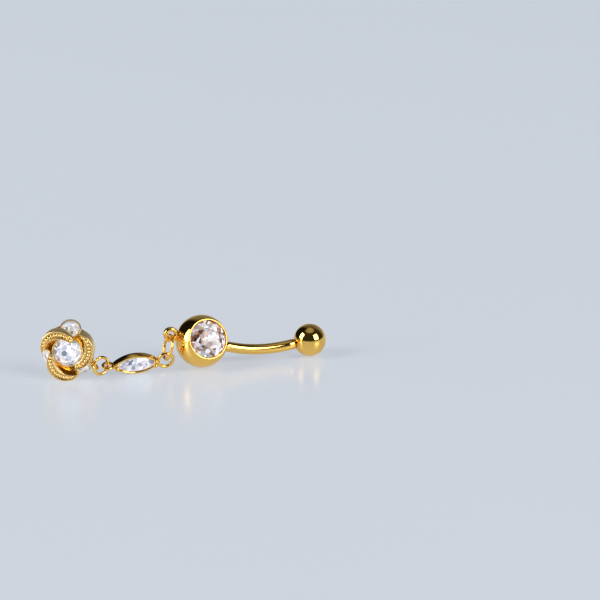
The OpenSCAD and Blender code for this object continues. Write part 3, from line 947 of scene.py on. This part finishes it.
class NAVEL_OT_flower(Operator):
    """Cast the flower: three beaded petals, the stone cups, the basket and the eye"""

    bl_idname = "navel.flower"
    bl_label = "Swirl Flower"

    # Steps along a petal, and flat steps across its channel
    steps = 96
    channel_steps = 6
    # Width of a petal's rims, as a share of its band
    rim_share = 0.2
    # Rounding of the rims: at most this, and at most this share of their width
    soft_most = 0.07 * MM
    soft_share = 0.4
    # Where the channel's walls bend, as a share of its depth, and how soon a narrow band thins it
    wall_bend = 0.7
    thinning = 1.3
    # Share of painted recess shade on the rims' inner edges and on the channel's walls
    edge_recess_shade = 0.2
    wall_recess_shade = 0.8
    # Beads: shares of their spacing and of the band, how far they stand up, and how flat they are
    bead_spacing = 0.49
    bead_band = 0.29
    bead_up = 0.25
    bead_flat = 0.8
    # Rounding of a cup's lip, as a share of its wall
    lip_share = 0.4
    # The basket, as shares of the flower's radius: its rim out and in, its foot out and in
    basket_rim = 0.93
    basket_rim_in = 0.83
    basket_foot = 0.55
    basket_foot_in = 0.5
    # Length of the cutter that opens a window in the basket, in its radii
    window_length = 3

    def execute(self, context):
        lay = layout()
        for number, turned in enumerate(lay.petal_turns, 1):
            self.cast_petal(lay, number, turned)
        self.cast_back(lay)
        return {"FINISHED"}

    def section(self, lay, t):
        """Across a petal at a share of its sweep: (way in from the outer edge, level, share of painted
        shade).
        """
        drop = lay.drop
        band = lay.petal_band(t)
        top = lay.petal_top(t)
        bottom = lay.petal_floor(t)
        depth = drop.channel_depth * min(1.0, band / drop.band_w * self.thinning)
        rim = band * self.rim_share
        soft = min(self.soft_most, rim * self.soft_share)
        corner = soft * ROUND_MIDDLE
        outer_rim = [
            (0, bottom, 0), (0, top - soft, 0), (corner, top - corner, 0), (soft, top, 0),
            (rim - soft, top, 0), (rim - corner, top - corner, self.edge_recess_shade),
            (rim, top - depth * self.wall_bend, self.wall_recess_shade),
        ]
        inner_rim = [(band - inward, level, recess) for inward, level, recess in reversed(outer_rim)]
        # The channel's floor gets the full painted shade
        channel = [
            (rim + (band - 2 * rim) * k / self.channel_steps, top - depth, 1)
            for k in range(1, self.channel_steps)
        ]
        return outer_rim + channel + inner_rim

    def cast_petal(self, lay, number, turned):
        drop = lay.drop
        form = Form()
        rows = []
        for k in range(self.steps + 1):
            t = k / self.steps
            row = []
            for inward, z, recess in self.section(lay, t):
                row += form.points([lay.petal_point(turned, t, inward, z)], lay.to_flower, recess)
            rows.append(row)
        form.skin(rows)
        form.cap(rows)
        petal_r = drop.flower_d / 2 - drop.petal_off
        for k in range(drop.beads):
            t = (k + 0.5) / drop.beads
            band = lay.petal_band(t)
            spacing = drop.petal_sweep / drop.beads * (petal_r - band / 2)
            size = min(spacing * self.bead_spacing, band * self.bead_band)
            level = lay.petal_top(t) - drop.channel_depth + size * self.bead_up
            place = lay.petal_point(turned, t, band / 2, level)
            form.bead(place, size, lay.to_flower, flat=self.bead_flat)
        form.finish(f"petal_{number}", cast(), "flower_setting", crease=50)

    def cup(self, form, lay, place, r, wall):
        """A tapered cup with a rounded lip and a cone seat, turned round the stone."""
        gap = lay.stone_gap
        height = r * lay.pavilion_share + wall
        seat = r + gap
        lip = wall * self.lip_share
        top = r * lay.girdle_share
        outside = [(gap, -height), (r / 2, -height), (r + wall, 0), (r + wall, top - lip)]
        rounded = arc_points((r + wall - lip, top - lip), lip, 0, 90, 4)
        inside = [(seat, top), (seat, -gap * 2), (gap, -seat * lay.pavilion_share - gap)]
        form.turned(outside + rounded + inside + [(gap, -height)], place, sides=64)

    def cast_back(self, lay):
        drop = lay.drop
        r = drop.flower_d / 2
        centre_r = drop.centre_stone_d / 2
        foot = lay.centre_level - centre_r * lay.pavilion_share
        basket = Form()
        wall = drop.cup_wall
        under = lay.petal_under
        inner = centre_r / 2
        loop = [
            (inner, foot), (r * self.basket_foot, foot), (r * self.basket_rim, under + wall),
            (r * self.basket_rim, under + 2 * wall), (r * self.basket_rim_in, under + 2 * wall),
            (r * self.basket_foot_in, foot + wall), (inner, foot + wall), (inner, foot),
        ]
        basket.turned(loop, lay.to_flower, sides=96)
        piece = basket.finish("flower_basket", cast(), crease=30)
        for number in (1, 2, 3):
            self.open_window(lay, piece, number)
        cups = Form()
        self.cup(cups, lay, lay.to_flower @ shift(0, 0, lay.centre_level), centre_r, wall)
        for number in (1, 2, 3):
            self.cup(cups, lay, lay.to_side_stone(number), drop.side_stone_d / 2, wall)
        cups.finish("stone_cups", cast())
        eye = Form()
        ring = round_of(lay.flower_eye_r, 48)
        aim = turn(math.radians(lay.flower_eye_turn), "Z") @ turn(math.pi / 2, "X")
        place = lay.to_flower @ Matrix.Translation(lay.flower_eye_in) @ aim
        eye.tube(ring, lay.flower_eye_wire / 2, place, sides=20, loop=True)
        eye.finish("flower_eye", polished())

    def open_window(self, lay, piece, number):
        """Cuts the basket where a side stone looks out."""
        r = lay.drop.side_stone_d / 2 + lay.stone_gap
        cutter = Form()
        far = r * self.window_length
        cutter.turned([(0, 0), (r, 0), (r, far), (0, far)], lay.to_side_stone(number), sides=48)
        bmesh.ops.recalc_face_normals(cutter.mesh, faces=cutter.mesh.faces)
        tool = add_object("window", mesh_of(cutter.mesh, "window"))
        cut = piece.modifiers.new("window", "BOOLEAN")
        cut.operation = "DIFFERENCE"
        cut.solver = "EXACT"
        cut.object = tool
        with bpy.context.temp_override(object=piece, active_object=piece):
            bpy.ops.object.modifier_apply(modifier=cut.name)
        bpy.data.objects.remove(tool)


class NAVEL_OT_stones(Operator):
    """Give the cut stones their clear, polished finish, with painted glints that glow"""

    bl_idname = "navel.stones"
    bl_label = "Cut Stones"

    def execute(self, context):
        glass = cut_stone(CRYSTAL)
        clear = cut_stone(CLEAR_STONE)
        for name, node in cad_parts.items():
            if name == "ball_crystal":
                self.dress(node, glass)
            elif "stone" in name:
                self.dress(node, clear)
        return {"FINISHED"}

    def dress(self, node, material):
        if not node.material_slots:
            node.data.materials.append(material)
        for place in node.material_slots:
            place.material = material


# A softbox: its direction as seen from the piece, the angles that it fills, and its brightness
Softbox = namedtuple("Softbox", "name azimuth elevation wide high glow")
SOFTBOXES = (
    Softbox("soft_left", azimuth=-90, elevation=26, wide=26, high=44, glow=6.5),
    Softbox("soft_right", azimuth=36, elevation=29, wide=30, high=34, glow=6.0),
)
LIGHT_DISTANCE = 0.9
LIGHT_TINT = (1.0, 0.99, 0.97)

# Tones of the studio round the piece, by height: in front of it and behind it
DARK = (0.03, 0.03, 0.033)
OVERHEAD = (0.34, 0.35, 0.36)
FLAG = (0.008, 0.008, 0.01)
FRONT_TONES = [
    (0.0, (0.60, 0.66, 0.72)), (0.05, (0.45, 0.50, 0.55)),
    (0.14, DARK), (0.88, DARK), (0.96, OVERHEAD),
]
SWEEP_TONES = [
    (0.0, (0.44, 0.48, 0.52)), (0.3, (0.25, 0.26, 0.28)), (0.75, (0.15, 0.15, 0.16)),
    (0.86, DARK), (0.95, OVERHEAD),
]

# Where each part of the studio fades in and is full, as parts of the direction from the piece
BEHIND = (0.05, 0.4)
TO_LEFT = (0.0, -0.2)
RAISED = (-0.02, 0.06)

# The glossy sheet: half of its side, its clouds' size and strength, and its gloss
SHEET_HALF = 3.0
CLOUD_SCALE = 6.0
CLOUD_SHARE = 0.08
CLOUD_TINT = (0.72, 0.76, 0.82)
SHEET_ROUGHNESS = 0.24
SHEET_MIRROR = 0.35

# Width of the camera's sensor in millimetres, and how near and far it sees in metres
SENSOR_WIDTH = 36.0
NEAREST = 0.005
FARTHEST = 20.0


class NAVEL_OT_studio(Operator):
    """Lay the glossy pale sheet, hang the soft lights and stand the camera as in the photograph"""

    bl_idname = "navel.studio"
    bl_label = "Studio"

    def execute(self, context):
        lay = layout()
        studio = context.scene.navel_studio
        self.lay_sheet(lay, studio)
        self.paint_world(context)
        gem = lay.upright.translation
        for box in SOFTBOXES:
            self.hang_light(box, gem)
        self.stand_camera(context, gem, studio)
        context.scene.view_settings.view_transform = "Standard"
        return {"FINISHED"}

    def lay_sheet(self, lay, studio):
        form = bmesh.new()
        for x, y in ((-1, -1), (1, -1), (1, 1), (-1, 1)):
            form.verts.new((x * SHEET_HALF, y * SHEET_HALF, lay.floor))
        form.faces.new(form.verts)
        data = mesh_of(form, "glossy_sheet")
        sheet = add_object("glossy_sheet", data)
        material, recipe = new_material("glossy_sheet")
        cloud = recipe.speckle(CLOUD_SCALE)
        tint = recipe.mix(cloud * CLOUD_SHARE, opaque(studio.surface), opaque(CLOUD_TINT))
        shader = recipe.node(
            "ShaderNodeBsdfPrincipled",
            sockets={
                "Base Color": tint, "Roughness": SHEET_ROUGHNESS, "Specular IOR Level": SHEET_MIRROR,
                "Emission Color": opaque(studio.under), "Emission Strength": 1.0,
            },
        )
        recipe.node("ShaderNodeOutputMaterial", sockets={"Surface": shader})
        data.materials.append(material)

    def paint_world(self, context):
        """Pale low down in front, a dim sweep behind, dark at the softboxes and behind to the left."""
        world = bpy.data.worlds.new("studio")
        context.scene.world = world
        recipe = Recipe(world)
        way = recipe.node("ShaderNodeTexCoord")
        across = recipe.node("ShaderNodeSeparateXYZ", sockets={0: way})
        depth = recipe.node("ShaderNodeSeparateXYZ", sockets={0: way}, out=1)
        height = recipe.node("ShaderNodeSeparateXYZ", sockets={0: way}, out=2)
        front = recipe.node("ShaderNodeValToRGB", {"stops": FRONT_TONES}, {0: height})
        sweep = recipe.node("ShaderNodeValToRGB", {"stops": SWEEP_TONES}, {0: height})
        behind = recipe.rise(depth, *BEHIND)
        to_left = recipe.rise(across, *TO_LEFT)
        raised = recipe.rise(height, *RAISED)
        back = recipe.mix(to_left * raised, sweep, opaque(FLAG))
        sky = recipe.node("ShaderNodeBackground", sockets={0: recipe.mix(behind, front, back)})
        recipe.node("ShaderNodeOutputWorld", sockets={0: sky})

    def hang_light(self, box, aim):
        """A softbox that fills its angles as seen from the piece, with its brightness."""
        way = toward(math.radians(box.azimuth), math.radians(box.elevation))
        data = bpy.data.lights.new(box.name, "AREA")
        data.shape = "RECTANGLE"
        data.size = 2 * LIGHT_DISTANCE * math.tan(math.radians(box.wide / 2))
        data.size_y = 2 * LIGHT_DISTANCE * math.tan(math.radians(box.high / 2))
        data.energy = math.pi * data.size * data.size_y * box.glow
        data.color = LIGHT_TINT
        lamp = add_object(box.name, data)
        lamp.location = aim + way * LIGHT_DISTANCE
        lamp.rotation_euler = way.to_track_quat("Z", "Y").to_euler()

    def stand_camera(self, context, gem, studio):
        """Puts the crystal ball's middle on its pixel of the photograph, at the photograph's scale."""
        back = toward(studio.azimuth, studio.elevation)
        right = Vector((math.cos(studio.azimuth), math.sin(studio.azimuth), 0))
        up = back.cross(right)
        focal = studio.scale * studio.distance / MM
        half = PHOTO_SIDE / 2
        aside = (studio.ball_across - half) / focal
        above = (half - studio.ball_down) / focal
        ray = right * aside + up * above - back
        data = bpy.data.cameras.new("camera")
        data.sensor_width = SENSOR_WIDTH
        data.lens = focal / PHOTO_SIDE * data.sensor_width
        data.clip_start = NEAREST
        data.clip_end = FARTHEST
        camera = add_object("camera", data)
        camera.location = gem - ray * studio.distance
        camera.rotation_euler = Matrix((right, up, back)).transposed().to_euler()
        context.scene.camera = camera


PIECE_OPERATORS = (
    NAVEL_OT_crystal_ball,
    NAVEL_OT_bar,
    NAVEL_OT_screwed_ball,
    NAVEL_OT_jump_rings,
    NAVEL_OT_marquise_link,
    NAVEL_OT_flower,
    NAVEL_OT_stones,
    NAVEL_OT_studio,
)


class NAVEL_PT_panel(Panel):
    """Lists the steps that make the navel ring"""

    bl_idname = "NAVEL_PT_panel"
    bl_label = "Navel Ring"
    bl_space_type = "VIEW_3D"
    bl_region_type = "UI"
    bl_category = "Navel Ring"

    def draw(self, context):
        column = self.layout.column(align=True)
        for step in PIECE_OPERATORS:
            column.operator(step.bl_idname)
        for name in GROUPS:
            group = getattr(context.scene, name)
            box = self.layout.box()
            for key in group.bl_rna.properties.keys():
                if key not in {"rna_type", "name"}:
                    box.prop(group, key)


GROUPS = {
    "navel_bar": BarSizes,
    "navel_drop": DropSizes,
    "navel_finish": Finish,
    "navel_studio": Studio,
}
CLASSES = (*GROUPS.values(), *PIECE_OPERATORS, NAVEL_PT_panel)


def register():
    for kind in CLASSES:
        bpy.utils.register_class(kind)
    for name, kind in GROUPS.items():
        setattr(bpy.types.Scene, name, PointerProperty(type=kind))


def unregister():
    for name in GROUPS:
        delattr(bpy.types.Scene, name)
    for kind in reversed(CLASSES):
        bpy.utils.unregister_class(kind)


def main():
    register()
    bpy.ops.navel.studio()
    bpy.ops.navel.crystal_ball()
    bpy.ops.navel.bar()
    bpy.ops.navel.screwed_ball()
    bpy.ops.navel.jump_rings()
    bpy.ops.navel.marquise_link()
    bpy.ops.navel.flower()
    bpy.ops.navel.stones()


if __name__ == "__main__":
    main()
